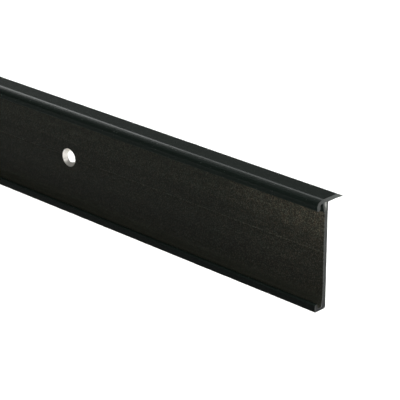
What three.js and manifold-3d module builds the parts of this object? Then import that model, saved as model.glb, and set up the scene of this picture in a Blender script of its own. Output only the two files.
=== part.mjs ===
// Door sweep: a drilled aluminium carrier rail with a polymer seal strip along its upper edge.
// The strip is one moulding of two grades: a firm clip that grips the rail and a bending lip.
// Units are millimetres. X runs along the sweep, -Y is its front, +Z is up.
// The origin lies on the rail's back face, at mid length and mid height.
import * as THREE from 'three';
import { mergeVertices } from 'three/addons/utils/BufferGeometryUtils.js';
import Module from 'manifold-3d';

// Overall
const LENGTH = 1000;
const HEIGHT = 40;
const MID_HEIGHT = HEIGHT / 2;

// Carrier rail, heights measured from its underside
const WEB_T = 1.5;
const J_FRONT = -5.3;
const J_WALL = 1.3;
const J_FLOOR = 1.25;
const J_LIP_TOP = 2.8;
const J_BACK_T = 2.0;
const J_BACK_TOP = 2.1;
const J_RAMP_TOP = 4.2;
const SHOULDER_Z = 35.25;
const TONGUE_BACK = -0.65;
const TONGUE_TOP = 38.9;
const BEAD_FRONT = -1.95;
const BEAD_LOW = 36.9;
const BEAD_FULL = 37.7;

// Screw holes and the guide groove that runs through them
const HOLE_X = [-375, -125, 125, 375];
const HOLE_Z = 20.3;
const HOLE_D = 4.5;
const SINK_D = 7.0;
const GROOVE_Z = 20.6;
const GROOVE_W = 0.3;
const GROOVE_D = 0.06;

// Seal clip
const FLANGE_T = 1.5;
const HOOK_FRONT = -5.4;
const HOOK_T = 1.5;
const HOOK_FOOT = 36.45;
const HOOK_R = 1.9;
// The top crowns down gently before it turns into the hook
const CROWN_Y = -2.5;
const CROWN_R = 7.0;
const CROWN_DROP = 0.58;
const GAP_TOP = 38.55;
const ROOT_FRONT = -2.6;
const ROOT_FOOT_FRONT = -1.95;
const CLEAR = 0.05;

// Sealing lip
const LIP_AXIS_Y = 1.75;
const LIP_AXIS_Z = HEIGHT - FLANGE_T / 2;
const LIP_ROOT_R = FLANGE_T / 2;
const LIP_GAP = 0.03;
const BEVEL_Y = 4.5;
const TIP_Y = 7.4;
const TIP_TOP = 38.47;
const TIP_LOW = 38.35;
const DROOP_Y = 4.0;

// Closed section from [y, z, corner radius] points, with each rounded corner drawn as an arc.
function section(corners) {
  const shape = new THREE.Shape();
  const n = corners.length;
  let started = false;
  const put = (v) => {
    if (started) shape.lineTo(v.x, v.y);
    else shape.moveTo(v.x, v.y);
    started = true;
  };
  for (let i = 0; i < n; i += 1) {
    const [y, z, r = 0] = corners[i];
    const p = new THREE.Vector2(y, z);
    if (r === 0) {
      put(p);
      continue;
    }
    const a = new THREE.Vector2(...corners[(i + n - 1) % n]).sub(p).normalize();
    const b = new THREE.Vector2(...corners[(i + 1) % n]).sub(p).normalize();
    const half = Math.acos(THREE.MathUtils.clamp(a.dot(b), -1, 1)) / 2;
    const centre = a.clone().add(b).normalize().multiplyScalar(r / Math.sin(half)).add(p);
    const start = a.clone().multiplyScalar(r / Math.tan(half)).add(p).sub(centre);
    const end = b.clone().multiplyScalar(r / Math.tan(half)).add(p).sub(centre);
    const turn = Math.atan2(start.cross(end), start.dot(end));
    const steps = Math.max(3, Math.ceil(Math.min(r, 2) * 5));
    for (let k = 0; k <= steps; k += 1) {
      put(start.clone().rotateAround(new THREE.Vector2(), (turn * k) / steps).add(centre));
    }
  }
  return shape;
}

// Section in (Y, Z), heights from the underside, drawn out along X over the whole length.
function extrude(shape) {
  const geometry = new THREE.ExtrudeGeometry(shape, { depth: LENGTH, bevelEnabled: false, steps: 1 });
  const basis = new THREE.Matrix4().makeBasis(
    new THREE.Vector3(0, 1, 0),
    new THREE.Vector3(0, 0, 1),
    new THREE.Vector3(1, 0, 0),
  );
  geometry.applyMatrix4(basis);
  geometry.translate(-LENGTH / 2, 0, -MID_HEIGHT);
  return geometry;
}

const wasm = await Module();
wasm.setup();

function weld(geometry) {
  const bare = geometry.clone();
  bare.deleteAttribute('normal');
  bare.deleteAttribute('uv');
  return mergeVertices(bare, 1e-5);
}

function toManifold(geometry) {
  const welded = weld(geometry);
  return new wasm.Manifold(new wasm.Mesh({
    numProp: 3,
    vertProperties: new Float32Array(welded.attributes.position.array),
    triVerts: new Uint32Array(welded.index.array),
  }));
}

function fromManifold(solid) {
  const mesh = solid.getMesh();
  const geometry = new THREE.BufferGeometry();
  geometry.setAttribute('position', new THREE.BufferAttribute(new Float32Array(mesh.vertProperties), 3));
  geometry.setIndex(new THREE.BufferAttribute(new Uint32Array(mesh.triVerts), 1));
  geometry.computeVertexNormals();
  return geometry;
}

// Countersunk hole cutter: a 90 degree cone from the front face, then the straight shank hole.
function holeCutter(x) {
  const rSink = SINK_D / 2;
  const rHole = HOLE_D / 2;
  const extra = 0.5;
  const coneDepth = rSink - rHole;
  const outline = [
    new THREE.Vector2(0, -1),
    new THREE.Vector2(rHole, -1),
    new THREE.Vector2(rHole, WEB_T - coneDepth),
    new THREE.Vector2(rSink + extra, WEB_T + extra),
    new THREE.Vector2(0, WEB_T + extra),
  ];
  const cutter = new THREE.LatheGeometry(outline, 64);
  cutter.rotateZ(Math.PI);
  cutter.translate(x, 0, HOLE_Z - MID_HEIGHT);
  return cutter;
}

function carrierRail() {
  const grooveHalf = GROOVE_W / 2;
  const shape = section([
    [J_FRONT, 0, 0.3],
    [0, 0, 0.75],
    [0, SHOULDER_Z],
    [TONGUE_BACK, SHOULDER_Z],
    [TONGUE_BACK, TONGUE_TOP, 0.15],
    [BEAD_FRONT, TONGUE_TOP, 0.2],
    [BEAD_FRONT, BEAD_FULL, 0.15],
    [-WEB_T, BEAD_LOW],
    [-WEB_T, GROOVE_Z + grooveHalf],
    [-WEB_T + GROOVE_D, GROOVE_Z],
    [-WEB_T, GROOVE_Z - grooveHalf],
    [-WEB_T, J_RAMP_TOP],
    [-J_BACK_T, J_BACK_TOP],
    [-J_BACK_T, J_FLOOR, 0.25],
    [J_FRONT + J_WALL, J_FLOOR, 0.25],
    [J_FRONT + J_WALL, J_LIP_TOP, 0.25],
    [J_FRONT, J_LIP_TOP, 0.35],
  ]);
  let solid = toManifold(extrude(shape));
  for (const x of HOLE_X) {
    solid = solid.subtract(toManifold(holeCutter(x)));
  }
  return fromManifold(solid);
}

function sealClip() {
  const slotBack = TONGUE_BACK + CLEAR;
  const slotFront = -WEB_T - CLEAR;
  const slotTop = TONGUE_TOP + CLEAR;
  const pocketFront = BEAD_FRONT - CLEAR;
  const foot = SHOULDER_Z + CLEAR;
  return extrude(section([
    [HOOK_FRONT, HOOK_FOOT, 0.55],
    [HOOK_FRONT + HOOK_T, HOOK_FOOT, 0.55],
    [HOOK_FRONT + HOOK_T, GAP_TOP, 0.55],
    [ROOT_FRONT, GAP_TOP, 0.15],
    [ROOT_FOOT_FRONT, foot, 0.1],
    [slotFront, foot],
    [slotFront, BEAD_LOW - CLEAR],
    [pocketFront, BEAD_FULL - CLEAR],
    [pocketFront, slotTop, 0.2],
    [slotBack, slotTop, 0.1],
    [slotBack, foot],
    [0, foot],
    [0, HEIGHT - FLANGE_T],
    [LIP_AXIS_Y - LIP_ROOT_R - LIP_GAP, HEIGHT - FLANGE_T],
    [LIP_AXIS_Y - LIP_ROOT_R - LIP_GAP, HEIGHT],
    [CROWN_Y, HEIGHT, CROWN_R],
    [HOOK_FRONT, HEIGHT - CROWN_DROP, HOOK_R],
  ]));
}

function sealingLip() {
  const shape = new THREE.Shape();
  shape.moveTo(LIP_AXIS_Y, HEIGHT - FLANGE_T);
  shape.lineTo(DROOP_Y, HEIGHT - FLANGE_T);
  shape.lineTo(TIP_Y, TIP_LOW);
  shape.lineTo(TIP_Y, TIP_TOP);
  shape.lineTo(BEVEL_Y, HEIGHT);
  shape.lineTo(LIP_AXIS_Y, HEIGHT);
  const arc = 12;
  for (let k = 1; k < arc; k += 1) {
    const a = Math.PI / 2 + (Math.PI * k) / arc;
    shape.lineTo(LIP_AXIS_Y + LIP_ROOT_R * Math.cos(a), LIP_AXIS_Z + LIP_ROOT_R * Math.sin(a));
  }
  return extrude(shape);
}

function named(name, geometry, color, metalness, roughness) {
  const solid = weld(geometry);
  solid.computeVertexNormals();
  const mesh = new THREE.Mesh(solid, new THREE.MeshStandardMaterial({ color, metalness, roughness }));
  mesh.name = name;
  return mesh;
}

const sweep = new THREE.Group();
sweep.name = 'door_sweep';
sweep.add(named('carrier_rail', carrierRail(), 0x2b2c27, 0.6, 0.5));
sweep.add(named('seal_clip', sealClip(), 0x1a1d1b, 0.0, 0.45));
sweep.add(named('sealing_lip', sealingLip(), 0x1c1f1d, 0.0, 0.5));

export default sweep;
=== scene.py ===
import math

import bmesh
import bpy
from mathutils import Matrix, Vector


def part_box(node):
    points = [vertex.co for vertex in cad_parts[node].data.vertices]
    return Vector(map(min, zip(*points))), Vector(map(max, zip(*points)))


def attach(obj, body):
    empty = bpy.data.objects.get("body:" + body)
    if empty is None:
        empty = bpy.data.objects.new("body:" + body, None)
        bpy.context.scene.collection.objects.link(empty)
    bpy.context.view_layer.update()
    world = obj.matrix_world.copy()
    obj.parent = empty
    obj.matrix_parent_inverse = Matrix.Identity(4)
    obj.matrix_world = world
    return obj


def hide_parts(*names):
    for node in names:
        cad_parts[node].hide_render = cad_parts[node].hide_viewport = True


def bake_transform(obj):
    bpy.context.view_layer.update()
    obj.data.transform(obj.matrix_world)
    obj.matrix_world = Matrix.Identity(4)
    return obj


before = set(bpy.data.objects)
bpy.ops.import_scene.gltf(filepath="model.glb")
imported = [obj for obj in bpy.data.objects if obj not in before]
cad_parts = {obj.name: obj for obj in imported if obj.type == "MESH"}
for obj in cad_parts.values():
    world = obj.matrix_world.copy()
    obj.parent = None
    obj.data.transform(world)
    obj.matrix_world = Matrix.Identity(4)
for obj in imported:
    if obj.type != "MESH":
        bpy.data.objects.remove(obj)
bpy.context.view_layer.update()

MM = 0.001
rail_lo, rail_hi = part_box("carrier_rail")
clip_lo, clip_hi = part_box("seal_clip")
lip_lo, lip_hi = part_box("sealing_lip")

LENGTH = (rail_hi.x - rail_lo.x) / MM
MID_HEIGHT = -rail_lo.z / MM
HEIGHT = clip_hi.z / MM + MID_HEIGHT

# Carrier rail, in millimetres, heights from the underside as in the CAD
WEB_T = 1.5
J_FRONT = rail_lo.y / MM
J_WALL = 1.3
J_FLOOR = 1.25
J_LIP_TOP = 2.8
J_BACK_T = 2.0
J_BACK_TOP = 2.1
J_RAMP_TOP = 4.2
SHOULDER_Z = 35.25
TONGUE_BACK = -0.65
TONGUE_TOP = rail_hi.z / MM + MID_HEIGHT
BEAD_FRONT = -1.95
BEAD_LOW = 36.9
BEAD_FULL = 37.7
HOLE_X = (-375, -125, 125, 375)
HOLE_Z = 20.3
HOLE_D = 4.5
SINK_D = 7.0
GROOVE_Z = 20.6
GROOVE_W = 0.3
GROOVE_D = 0.06
RAIL_DEBURR = 0.13

# Seal strip
FLANGE_T = 1.5
HOOK_FRONT = clip_lo.y / MM
HOOK_T = 1.5
HOOK_FOOT = 36.45
HOOK_R = 1.9
CROWN_Y = -2.5
CROWN_R = 7.0
CROWN_DROP = 0.58
GAP_TOP = 38.55
ROOT_FRONT = -2.6
ROOT_FOOT_FRONT = -1.95
CLEAR = 0.05
BEND_START = 1.0
BEND_END = 2.9
BEVEL_Y = 4.5
DROOP_Y = 4.0
TIP_Y = lip_hi.y / MM
TIP_TOP = 38.47
TIP_LOW = lip_lo.z / MM + MID_HEIGHT
STRIP_DEBURR = 0.05

# Smoothness of curves: steps per mm of corner radius, facets of a hole, sharpest smooth edge in degrees
STEPS_PER_MM = 9
HOLE_FACETS = 96
SHARP_ANGLE = 14

# Pitch of the turned rings in the countersinks, in mm
RING_PITCH = 0.16


def outline(corners):
    """Closed section from (y, z, radius) corners; a corner without a radius stays sharp.

    Arcs get a support point on each side, which keeps the shading of the flats flat.
    """
    points = []
    n = len(corners)
    for i in range(n):
        y, z = corners[i][:2]
        r = corners[i][2] if len(corners[i]) > 2 else 0
        p = Vector((y, z))
        if not r:
            points.append(p)
            continue
        a = (Vector(corners[i - 1][:2]) - p).normalized()
        b = (Vector(corners[(i + 1) % n][:2]) - p).normalized()
        half = a.angle(b) / 2
        centre = p + (a + b).normalized() * (r / math.sin(half))
        reach = r / math.tan(half)
        start, end = p + a * reach - centre, p + b * reach - centre
        turn = math.atan2(start.x * end.y - start.y * end.x, start.dot(end))
        steps = max(8, math.ceil(min(r, 2) * STEPS_PER_MM))
        support = min(0.05, r * 0.2)
        points.append(p + a * (reach + support))
        for k in range(steps + 1):
            c, s = math.cos(turn * k / steps), math.sin(turn * k / steps)
            points.append(centre + Vector((start.x * c - start.y * s, start.x * s + start.y * c)))
        points.append(p + b * (reach + support))
    return points


def inset(points, d):
    """The same section drawn in by d, for the deburred edge of a cut end."""
    n = len(points)
    area = sum(points[i - 1].x * points[i].y - points[i].x * points[i - 1].y for i in range(n))
    side = 1 if area > 0 else -1
    out = []
    for i in range(n):
        e1 = (points[i] - points[i - 1]).normalized()
        e2 = (points[(i + 1) % n] - points[i]).normalized()
        n1, n2 = Vector((-e1.y, e1.x)) * side, Vector((-e2.y, e2.x)) * side
        m = n1 + n2
        m = m.normalized() if m.length > 1e-6 else n1
        out.append(points[i] + m * d / max(0.5, m.dot(n1)))
    return out


def bar(name, points, deburr):
    """The section drawn out along X, with a small deburred edge at both ends."""
    half = LENGTH / 2
    small = inset(points, deburr)
    rings = [(-half, small), (-half + deburr, points), (half - deburr, points), (half, small)]
    bm = bmesh.new()
    loops = []
    for x, ring in rings:
        loops.append([bm.verts.new((x * MM, p.x * MM, (p.y - MID_HEIGHT) * MM)) for p in ring])
    n = len(points)
    for a, b in zip(loops, loops[1:]):
        for i in range(n):
            bm.faces.new((a[i], a[(i + 1) % n], b[(i + 1) % n], b[i]))
    bm.faces.new(loops[0][::-1])
    bm.faces.new(loops[-1])
    bmesh.ops.recalc_face_normals(bm, faces=bm.faces)
    return finish_mesh(name, bm)


def finish_mesh(name, bm):
    """Turn the working mesh into an object in the scene."""
    mesh = bpy.data.meshes.new(name)
    bm.to_mesh(mesh)
    bm.free()
    obj = bpy.data.objects.new(name, mesh)
    bpy.context.scene.collection.objects.link(obj)
    return obj


def smooth(obj):
    """Round shading, broken at every edge that turns by more than SHARP_ANGLE."""
    obj.data.shade_smooth()
    obj.data.set_sharp_from_angle(angle=math.radians(SHARP_ANGLE))


# ---------------------------------------------------------------- materials

COOL_TINT = (0.88, 1.0, 0.94, 1)


class Nodes:
    """Short-hand for building a node tree."""

    def __init__(self, name):
        self.mat = bpy.data.materials.new(name)
        self.mat.use_nodes = True
        self.tree = self.mat.node_tree
        self.bsdf = self.tree.nodes["Principled BSDF"]
        self.coord = self.tree.nodes.new("ShaderNodeTexCoord").outputs["Object"]

    def new(self, kind, **values):
        node = self.tree.nodes.new(kind)
        for key, value in values.items():
            if hasattr(node, key):
                setattr(node, key, value)
            else:
                node.inputs[key.replace("_", " ")].default_value = value
        return node

    def link(self, a, b):
        self.tree.links.new(a, b)

    def stretch(self, x, y, z):
        node = self.new("ShaderNodeMapping")
        node.inputs["Scale"].default_value = (x, y, z)
        self.link(self.coord, node.inputs["Vector"])
        return node.outputs["Vector"]

    def noise(self, vector, scale, detail=3.0, rough=0.6):
        node = self.new("ShaderNodeTexNoise", Scale=scale, Detail=detail, Roughness=rough)
        self.link(vector, node.inputs["Vector"])
        return node.outputs["Fac"]

    def along(self, axis):
        """0 to 1 through the object's length (X), depth (Y) or height (Z)."""
        node = self.new("ShaderNodeSeparateXYZ")
        self.link(self.coord, node.inputs[0])
        lo, hi = {
            "X": (-LENGTH / 2, LENGTH / 2),
            "Y": (HOOK_FRONT, TIP_Y),
            "Z": (-MID_HEIGHT, HEIGHT - MID_HEIGHT),
        }[axis]
        return self.span(node.outputs[axis], lo * MM, hi * MM, 0.0, 1.0)

    def ramp(self, fac, stops):
        node = self.new("ShaderNodeValToRGB")
        elements = node.color_ramp.elements
        while len(elements) < len(stops):
            elements.new(0.5)
        for e, (pos, colour) in zip(elements, stops):
            e.position = pos
            e.color = (*colour, 1) if isinstance(colour, tuple) else (colour, colour, colour, 1)
        self.link(fac, node.inputs["Fac"])
        return node.outputs["Color"]

    def math(self, op, a, b=None):
        node = self.new("ShaderNodeMath")
        node.operation = op
        for i, v in enumerate((a, b)):
            if v is None:
                continue
            if isinstance(v, (int, float)):
                node.inputs[i].default_value = v
            else:
                self.link(v, node.inputs[i])
        return node.outputs["Value"]

    def span(self, fac, lo, hi, out_lo, out_hi):
        node = self.new("ShaderNodeMapRange")
        for i, v in enumerate((lo, hi, out_lo, out_hi)):
            node.inputs[i + 1].default_value = v
        self.link(fac, node.inputs[0])
        return node.outputs[0]

    def mix(self, kind, fac, a, b):
        node = self.new("ShaderNodeMix")
        node.data_type = "RGBA"
        node.blend_type = kind
        for socket, v in ((node.inputs["Factor"], fac), (node.inputs[6], a), (node.inputs[7], b)):
            if isinstance(v, (int, float)):
                socket.default_value = v
            elif isinstance(v, tuple):
                socket.default_value = (*v, 1)
            else:
                self.link(v, socket)
        return node.outputs[2]

    def bump(self, height, strength, distance, under=None):
        node = self.new("ShaderNodeBump", Strength=strength, Distance=distance)
        self.link(height, node.inputs["Height"])
        if under is not None:
            self.link(under, node.inputs["Normal"])
        return node.outputs["Normal"]

    def shade(self, colour=None, rough=None, normal=None, **sockets):
        for key, value in sockets.items():
            self.bsdf.inputs[key.replace("_", " ")].default_value = value
        for key, value in (("Base Color", colour), ("Roughness", rough), ("Normal", normal)):
            if value is None:
                continue
            if isinstance(value, (int, float)):
                self.bsdf.inputs[key].default_value = value
            else:
                self.link(value, self.bsdf.inputs[key])
        return self.mat


def anodised_web():
    """Dark bronze anodising over a blasted surface: a warm, fine, slightly sparkling grain.

    Painted light along the height: lighter inside the J's channel where its shade falls, darker over the
    lower web and lighter towards the top, with a painted highlight along the groove at mid height. Painted
    light also makes it lighter towards the top over the last twentieth of the length at both ends.
    """
    m = Nodes("anodised_web")
    grain = m.noise(m.coord, 2500, 3.0, 0.7)
    cloud = m.noise(m.coord, 260, 3.0, 0.6)
    die = m.noise(m.stretch(0.6, 1, 260), 3.0, 2.0, 0.5)
    base = m.ramp(grain, [
        (0.36, (0.0030, 0.0033, 0.0025)),
        (0.50, (0.0081, 0.0083, 0.0064)),
        (0.70, (0.038, 0.037, 0.030)),
    ])
    base = m.mix("MULTIPLY", 0.5, base, m.ramp(cloud, [(0.3, 0.72), (0.7, 1.3)]))
    base = m.mix("MULTIPLY", 0.35, base, m.ramp(die, [(0.35, 0.72), (0.65, 1.28)]))
    tone = m.noise(m.coord, 1100, 2.0, 0.5)
    tint = m.ramp(tone, [(0.38, (0.89, 1.06, 0.98)), (0.62, (1.06, 1.02, 0.88))])
    base = m.mix("MULTIPLY", 1.0, base, tint)
    calm = m.ramp(m.along("Z"), [(0.09, 0.75), (0.18, 0.0)])
    base = m.mix("MIX", calm, base, (0.0105, 0.0108, 0.0084))
    rough = m.span(grain, 0.3, 0.75, 0.62, 0.46)
    normal = m.bump(grain, 0.35, 0.00006, m.bump(die, 0.10, 0.00003))
    # Painted light along the height: the J's channel lightened where its shade falls, the lower web darker, a
    # painted highlight along the groove, the upper web lighter towards the top.
    channel_painted_light = [(0.03, 6.0), (0.05, 3.6), (0.065, 2.4), (0.10, 1.5)]
    lower_web_painted_shade = [(0.16, 0.76), (0.22, 0.57), (0.30, 0.56), (0.37, 0.66), (0.44, 0.69), (0.508, 0.62)]
    groove_painted_highlight = [(0.511, 1.3), (0.519, 1.3)]
    upper_web_painted_light = [(0.522, 0.68), (0.60, 0.68), (0.645, 0.73), (0.665, 0.93), (0.90, 1.04)]
    painted_light_zones = m.ramp(m.along("Z"), channel_painted_light + lower_web_painted_shade + groove_painted_highlight + upper_web_painted_light)
    base = m.mix("MULTIPLY", 1.0, base, painted_light_zones)
    # Painted light: lighter towards the top over the last twentieth of the length at both ends.
    painted_light_near_ends = m.ramp(m.along("X"), [(0.0, 1.0), (0.05, 0.0), (0.95, 0.0), (1.0, 1.0)])
    painted_light_towards_top = m.ramp(m.along("Z"), [(0.09, 0.0), (0.20, 0.26), (0.50, 0.30), (0.85, 1.0)])
    base = m.mix("MULTIPLY", m.math("MULTIPLY", painted_light_near_ends, painted_light_towards_top), base, (3.6, 3.05, 3.0))
    return m.shade(base, rough, normal, Specular_IOR_Level=0.07, Specular_Tint=(0.96, 1.0, 0.9, 1))


def anodised_smooth():
    """The same anodising where the die left the surface polished: cooler, smoother, with faint die lines.

    Painted light makes the lip's front lighter towards its foot, and a painted highlight makes the top of the
    J's lip, a narrow band of the height, lighter.
    """
    m = Nodes("anodised_smooth")
    die = m.noise(m.stretch(0.8, 420, 420), 2.0, 3.0, 0.5)
    speck = m.noise(m.coord, 2300, 1.0, 0.4)
    base = m.ramp(die, [(0.3, (0.0016, 0.0026, 0.0021)), (0.7, (0.0028, 0.0040, 0.0034))])
    base = m.mix("ADD", m.ramp(speck, [(0.74, 0.0), (0.80, 1.0)]), base, (0.02, 0.022, 0.02))
    # Painted light on the lip's front, lighter towards its foot, and a painted highlight along the top of the
    # lip.
    lip_front_painted_light, lip_top_painted_highlight = [(0.0, 1.3), (0.03, 0.95), (0.060, 0.75)], [(0.068, 6.0), (0.080, 6.0)]
    painted_light_zones = m.ramp(m.along("Z"), lip_front_painted_light + lip_top_painted_highlight + [(0.10, 1.0)])
    base = m.mix("MULTIPLY", 1.0, base, painted_light_zones)
    rough = m.span(die, 0.3, 0.7, 0.26, 0.34)
    normal = m.bump(die, 0.12, 0.00002)
    return m.shade(base, rough, normal, Specular_IOR_Level=0.03, Specular_Tint=COOL_TINT)


def cut_metal():
    """Sawn aluminium end: blade marks across the section, with painted shade darker towards the bottom over
    the J's end and a painted highlight as a bright band near the tongue.
    """
    m = Nodes("cut_aluminium")
    saw = m.noise(m.stretch(1, 900, 5200), 1.0, 3.0, 0.6)
    blot = m.noise(m.coord, 700, 2.0, 0.5)
    # Painted shade: darker towards the bottom over the J's end; painted highlight: the bright band near the
    # tongue.
    base = m.ramp(m.along("Z"), [
        (0.05, (0.008, 0.009, 0.008)),
        (0.14, (0.023, 0.025, 0.023)),
        (0.88, (0.033, 0.036, 0.032)),
        (0.93, (0.34, 0.345, 0.315)),
        (0.97, (0.34, 0.345, 0.315)),
    ])
    base = m.mix("MULTIPLY", 0.6, base, m.ramp(saw, [(0.35, 0.75), (0.65, 1.2)]))
    base = m.mix("MULTIPLY", 0.6, base, m.ramp(blot, [(0.3, 0.8), (0.7, 1.15)]))
    rough = m.span(saw, 0.3, 0.7, 0.42, 0.6)
    return m.shade(base, rough, m.bump(saw, 0.3, 0.00004), Specular_IOR_Level=0.3)


def bare_countersink():
    """Bright metal where the drill cut through the anodising, with turned rings about each hole's axis."""
    m = Nodes("bare_countersink")
    parts = m.new("ShaderNodeSeparateXYZ")
    m.link(m.coord, parts.inputs[0])
    x = m.math("ABSOLUTE", parts.outputs["X"])
    x = m.math("ABSOLUTE", m.math("SUBTRACT", x, (HOLE_X[3] + HOLE_X[2]) / 2 * MM))
    x = m.math("SUBTRACT", x, (HOLE_X[3] - HOLE_X[2]) / 2 * MM)
    z = m.math("SUBTRACT", parts.outputs["Z"], (HOLE_Z - MID_HEIGHT) * MM)
    radius = m.math("SQRT", m.math("ADD", m.math("MULTIPLY", x, x), m.math("MULTIPLY", z, z)))
    wobble = m.math("MULTIPLY", m.noise(m.coord, 400, 2.0), 0.00015)
    rings = m.math("SINE", m.math("MULTIPLY", m.math("ADD", radius, wobble), 2 * math.pi / (RING_PITCH * MM)))
    rough = m.span(rings, -1.0, 1.0, 0.32, 0.40)
    base = m.ramp(m.noise(m.coord, 900, 2.0), [(0.3, (0.76, 0.73, 0.68)), (0.7, (0.84, 0.81, 0.76))])
    return m.shade(base, rough, m.bump(rings, 0.05, 0.00002), Metallic=1.0)


def bare_edge():
    """Thin line of bare metal where the saw broke the anodised skin."""
    m = Nodes("bare_edge")
    nick = m.noise(m.coord, 1400, 2.0, 0.5)
    base = m.ramp(nick, [(0.35, (0.060, 0.062, 0.059)), (0.65, (0.125, 0.128, 0.121))])
    return m.shade(base, m.span(nick, 0.3, 0.7, 0.45, 0.30), m.bump(nick, 0.2, 0.00002), Metallic=1.0)


def strip_polymer():
    """Extruded black polymer: faint flow lines along the length, a soft orange-peel and a few pale specks.

    It is glossy on the top and the ridge, and dull on the flat of the hook's leg, whose foot is painted a
    tenth lighter as painted light.
    """
    m = Nodes("strip_polymer")
    flow = m.noise(m.stretch(1.2, 300, 300), 2.0, 3.0, 0.5)
    peel = m.noise(m.coord, 520, 2.0, 0.5)
    speck = m.noise(m.coord, 1900, 0.0, 0.4)
    base = m.ramp(flow, [(0.3, (0.0040, 0.0068, 0.0053)), (0.7, (0.0058, 0.0088, 0.0071))])
    base = m.mix("ADD", m.ramp(speck, [(0.80, 0.0), (0.84, 1.0)]), base, (0.045, 0.048, 0.045))
    rough = m.span(peel, 0.3, 0.7, 0.15, 0.19)
    rough = m.math("ADD", rough, m.ramp(m.along("Z"), [(0.915, 0.4), (0.935, 0.0)]))
    gloss = m.ramp(m.along("Z"), [(0.948, 0.03), (0.968, 0.17)])
    m.link(gloss, m.bsdf.inputs["Specular IOR Level"])
    # Painted light: the foot of the hook's leg a tenth lighter.
    base = m.mix("MULTIPLY", 1.0, base, m.ramp(m.along("Z"), [(0.920, 1.1), (0.950, 1.0)]))
    normal = m.bump(peel, 0.02, 0.00003, m.bump(flow, 0.015, 0.00002))
    return m.shade(base, rough, normal, Specular_Tint=COOL_TINT)


def cut_polymer():
    """Sawn end of the strip: dull grey, slightly torn, with fine blade marks; painted light makes it lighter
    towards the back, over the fin's end.
    """
    m = Nodes("cut_polymer")
    saw = m.noise(m.stretch(1, 2600, 1100), 1.0, 3.0, 0.6)
    # Painted light: lighter towards the back, over the fin's end.
    base = m.ramp(m.along("Y"), [
        (0.0, (0.057, 0.062, 0.058)),
        (0.45, (0.062, 0.067, 0.063)),
        (0.95, (0.100, 0.107, 0.101)),
    ])
    base = m.mix("MULTIPLY", 0.7, base, m.ramp(saw, [(0.3, 0.78), (0.7, 1.2)]))
    rough = m.span(saw, 0.3, 0.7, 0.5, 0.7)
    return m.shade(base, rough, m.bump(saw, 0.3, 0.00004), Specular_IOR_Level=0.3)


# ---------------------------------------------------------------- carrier rail

WEB, SMOOTH, CUT, CONE, EDGE = range(5)
groove_half = GROOVE_W / 2
rail_outline = outline([
    (J_FRONT, 0, 0.3),
    (0, 0, 0.75),
    (0, SHOULDER_Z),
    (TONGUE_BACK, SHOULDER_Z),
    (TONGUE_BACK, TONGUE_TOP, 0.15),
    (BEAD_FRONT, TONGUE_TOP, 0.2),
    (BEAD_FRONT, BEAD_FULL, 0.15),
    (-WEB_T, BEAD_LOW),
    (-WEB_T, GROOVE_Z + groove_half),
    (-WEB_T + GROOVE_D, GROOVE_Z),
    (-WEB_T, GROOVE_Z - groove_half),
    (-WEB_T, J_RAMP_TOP, 1.5),
    (-J_BACK_T, J_BACK_TOP, 0.8),
    (-J_BACK_T, J_FLOOR, 0.25),
    (J_FRONT + J_WALL, J_FLOOR, 0.25),
    (J_FRONT + J_WALL, J_LIP_TOP, 0.3),
    (J_FRONT, J_LIP_TOP, 0.4),
])
rail = bar("rail_profile", rail_outline, RAIL_DEBURR)
rail_materials = [
    anodised_web(),
    anodised_smooth(),
    cut_metal(),
    bare_countersink(),
    bare_edge(),
]
for mat in rail_materials:
    rail.data.materials.append(mat)


def is_web(c, normal):
    """The front of the web above the J's floor, that floor itself, and the back of the rail."""
    height, depth = c.z / MM + MID_HEIGHT, c.y / MM
    front = -J_BACK_T - 0.01 < depth < -WEB_T + GROOVE_D + 0.05 and normal.y < -0.3
    channel = normal.z > 0.5 and height < J_LIP_TOP - 0.2
    return (front and height > J_FLOOR) or channel or normal.y > 0.9


# The sawn ends, the deburred edge round them, then the faces along the bar
for poly in rail.data.polygons:
    if abs(poly.normal.x) > 0.9:
        poly.material_index = CUT
    elif abs(poly.normal.x) > 0.5:
        poly.material_index = EDGE
    else:
        poly.material_index = WEB if is_web(poly.center, poly.normal) else SMOOTH


def countersink(x):
    """Cutter for one hole: 90 degree cone with a softened rim, then the shank hole.

    It stands out of the web by in_front and behind, so that the cut is clean.
    """
    r_sink, r_hole, soft = SINK_D / 2, HOLE_D / 2, 0.06
    in_front, behind = 0.4, 1.0
    depth = r_sink - r_hole
    profile = [
        (r_hole, behind),
        (r_hole, -WEB_T + depth),
        (r_sink - soft, -WEB_T + soft),
        (r_sink + soft * 0.4, -WEB_T - soft * 0.1),
        (r_sink + soft * 0.4, -WEB_T - in_front),
    ]
    bm = bmesh.new()
    loops = []
    for r, y in profile:
        loops.append([
            bm.verts.new((
                (x + r * math.cos(2 * math.pi * k / HOLE_FACETS)) * MM,
                y * MM,
                (HOLE_Z - MID_HEIGHT + r * math.sin(2 * math.pi * k / HOLE_FACETS)) * MM,
            ))
            for k in range(HOLE_FACETS)
        ])
    for a, b in zip(loops, loops[1:]):
        for k in range(HOLE_FACETS):
            after = (k + 1) % HOLE_FACETS
            bm.faces.new((a[k], a[after], b[after], b[k]))
    bm.faces.new(loops[0][::-1])
    bm.faces.new(loops[-1])
    bmesh.ops.recalc_face_normals(bm, faces=bm.faces)
    cutter = finish_mesh("cutter", bm)
    for mat in rail_materials:
        cutter.data.materials.append(mat)
    for poly in cutter.data.polygons:
        poly.material_index = CONE
    return cutter


for hole_x in HOLE_X:
    cutter = countersink(hole_x)
    mod = rail.modifiers.new("hole", "BOOLEAN")
    mod.operation = "DIFFERENCE"
    mod.solver = "EXACT"
    mod.object = cutter
    cut = bpy.data.meshes.new_from_object(rail.evaluated_get(bpy.context.evaluated_depsgraph_get()))
    rail.modifiers.clear()
    rail.data = cut
    bpy.data.objects.remove(cutter)
rail.data.name = "rail_profile"
smooth(rail)
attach(rail, "rail")
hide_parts("carrier_rail")

# ---------------------------------------------------------------- seal strip

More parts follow.
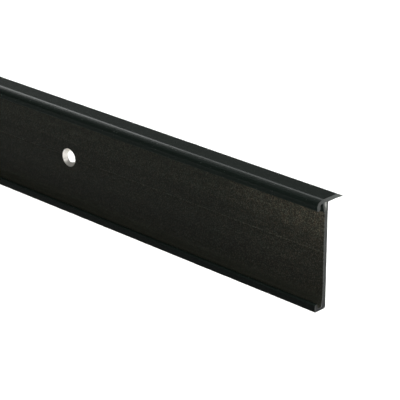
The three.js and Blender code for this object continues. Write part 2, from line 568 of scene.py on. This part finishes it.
slot_back = TONGUE_BACK + CLEAR
slot_front = -WEB_T - CLEAR
slot_top = TONGUE_TOP + CLEAR
pocket_front = BEAD_FRONT - CLEAR
foot = SHOULDER_Z + CLEAR
bend_steps = 14
bend = [BEND_START + (BEND_END - BEND_START) * k / bend_steps for k in range(bend_steps + 1)]
strip_outline = outline(
    [
        (HOOK_FRONT, HOOK_FOOT, 0.55),
        (HOOK_FRONT + HOOK_T, HOOK_FOOT, 0.55),
        (HOOK_FRONT + HOOK_T, GAP_TOP, 0.55),
        (ROOT_FRONT, GAP_TOP, 0.15),
        (ROOT_FOOT_FRONT, foot, 0.1),
        (slot_front, foot),
        (slot_front, BEAD_LOW - CLEAR),
        (pocket_front, BEAD_FULL - CLEAR),
        (pocket_front, slot_top, 0.2),
        (slot_back, slot_top, 0.1),
        (slot_back, foot),
        (0, foot),
        (0, HEIGHT - FLANGE_T),
    ]
    + [(y, HEIGHT - FLANGE_T) for y in bend]
    + [
        (DROOP_Y, HEIGHT - FLANGE_T),
        (TIP_Y, TIP_LOW),
        (TIP_Y, TIP_TOP),
        (BEVEL_Y, HEIGHT),
    ]
    + [(y, HEIGHT) for y in reversed(bend)]
    + [(CROWN_Y, HEIGHT, CROWN_R), (HOOK_FRONT, HEIGHT - CROWN_DROP, HOOK_R)]
)
strip = bar("seal_strip", strip_outline, STRIP_DEBURR)
strip.data.materials.append(strip_polymer())
strip.data.materials.append(cut_polymer())
for poly in strip.data.polygons:
    poly.material_index = 1 if abs(poly.normal.x) > 0.5 else 0
smooth(strip)
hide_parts("seal_clip", "sealing_lip")
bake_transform(strip)

# ---------------------------------------------------------------- floor, light, camera (metres)

FLOOR_HALF = 8
FLOOR_DROP = 0.45
BACK_SPREAD = 75
PANEL_SPREAD = 60
floor_mesh = bmesh.new()
bmesh.ops.create_grid(floor_mesh, x_segments=2, y_segments=2, size=FLOOR_HALF)
floor = finish_mesh("floor", floor_mesh)
floor.location.z = rail_lo.z - FLOOR_DROP
floor_mat = Nodes("pale_floor")
floor_tone = floor_mat.ramp(floor_mat.noise(floor_mat.coord, 3, 2.0), [(0.3, 0.93), (0.7, 0.95)])
floor.data.materials.append(floor_mat.shade(floor_tone, 0.9, Specular_IOR_Level=0.1))

world = bpy.data.worlds.new("studio")
bpy.context.scene.world = world
world.use_nodes = True
background = world.node_tree.nodes["Background"]
background.inputs["Color"].default_value = (0.96, 1, 0.97, 1)
background.inputs["Strength"].default_value = 0.16


def softbox(name, place, aim, width, height, power, spread=180):
    """Rectangular light at place, facing aim, its width kept level along X. The spread is in degrees."""
    data = bpy.data.lights.new(name, "AREA")
    data.shape = "RECTANGLE"
    data.size, data.size_y, data.energy = width, height, power
    data.spread = math.radians(spread)
    light = bpy.data.objects.new(name, data)
    bpy.context.scene.collection.objects.link(light)
    back = (Vector(place) - Vector(aim)).normalized()
    along = Vector((1, 0, 0))
    along = (along - back * along.dot(back)).normalized()
    turn = Matrix((along, back.cross(along), back)).transposed().to_4x4()
    light.matrix_world = Matrix.Translation(place) @ turn
    return light


# Lights behind and over the bar, which the ridge and the top reflect. Each row gives the direction and the
# distance from the near part, the shift of the aim along X, the size and the power.
near = Vector((0.4, 0, 0))
for name, direction, distance, aim_x, width, height, power in (
    ("strip_key", (-0.56, 0.54, 0.54), 0.85, 0.07, 0.7, 0.10, 0.045),
    ("strip_left", (-0.81, 0.48, 0.48), 0.7, -0.07, 0.3, 0.10, 0.028),
    ("strip_right", (-0.46, 0.59, 0.59), 0.85, 0.09, 0.22, 0.10, 0.014),
    ("overhead", (-0.64, 0.05, 0.76), 0.85, 0, 0.6, 0.35, 0.036),
):
    place = near + Vector(direction) * distance
    softbox(name, place, near + Vector((aim_x, 0, 0)), width, height, power, BACK_SPREAD)
# Light on the near end's sawn face
softbox("side", (0.85, -0.20, 0.08), (0.50, 0, 0), 0.15, 0.15, 0.18, 90)
# Front light that the countersinks reflect, hidden so that it doesn't show in views from behind
catch = softbox("catch", (1.22, -1.58, 0.78), (0.375, 0, 0), 0.9, 0.9, 3.2)
catch.visible_camera = False
# Wide panels that each light their own part of the pale floor
for name, x, y, height, width, depth, power in (
    ("floor_back", -0.7, 1.6, 2.2, 3.6, 3.2, 54),
    ("floor_right", 2.7, 1.6, 2.2, 3.2, 3.2, 46),
    ("floor_front", 0.4, -2.2, 1.9, 6.5, 3.0, 84),
    ("floor_far_left", -4.2, 0.6, 2.2, 3.4, 5.0, 76),
    ("floor_far_back", 0.5, 5.0, 2.2, 8.0, 3.6, 130),
    ("floor_far_front", 0.5, -5.4, 2.2, 8.0, 3.6, 130),
):
    softbox(name, (x, y, height), (x, y, floor.location.z), width, depth, power, PANEL_SPREAD)

CAMERA_PLACE = (0.84077, -0.41064, 0.24329)
LENS = 159.87
YAW, PITCH, ROLL = (math.radians(a) for a in (44.173, 22.843, -0.137))
ahead = Vector((-math.sin(YAW) * math.cos(PITCH), math.cos(YAW) * math.cos(PITCH), -math.sin(PITCH)))
level = Vector((math.cos(YAW), math.sin(YAW), 0))
top = level.cross(ahead)
right = level * math.cos(ROLL) + top * math.sin(ROLL)
up = top * math.cos(ROLL) - level * math.sin(ROLL)
camera_data = bpy.data.cameras.new("camera")
camera_data.sensor_width = 36
camera_data.lens = LENS
camera_data.clip_start, camera_data.clip_end = 0.01, 50
camera = bpy.data.objects.new("camera", camera_data)
bpy.context.scene.collection.objects.link(camera)
facing = Matrix((right, up, -ahead)).transposed().to_4x4()
camera.matrix_world = Matrix.Translation(CAMERA_PLACE) @ facing
bpy.context.scene.camera = camera
bpy.context.scene.view_settings.view_transform = "Standard"
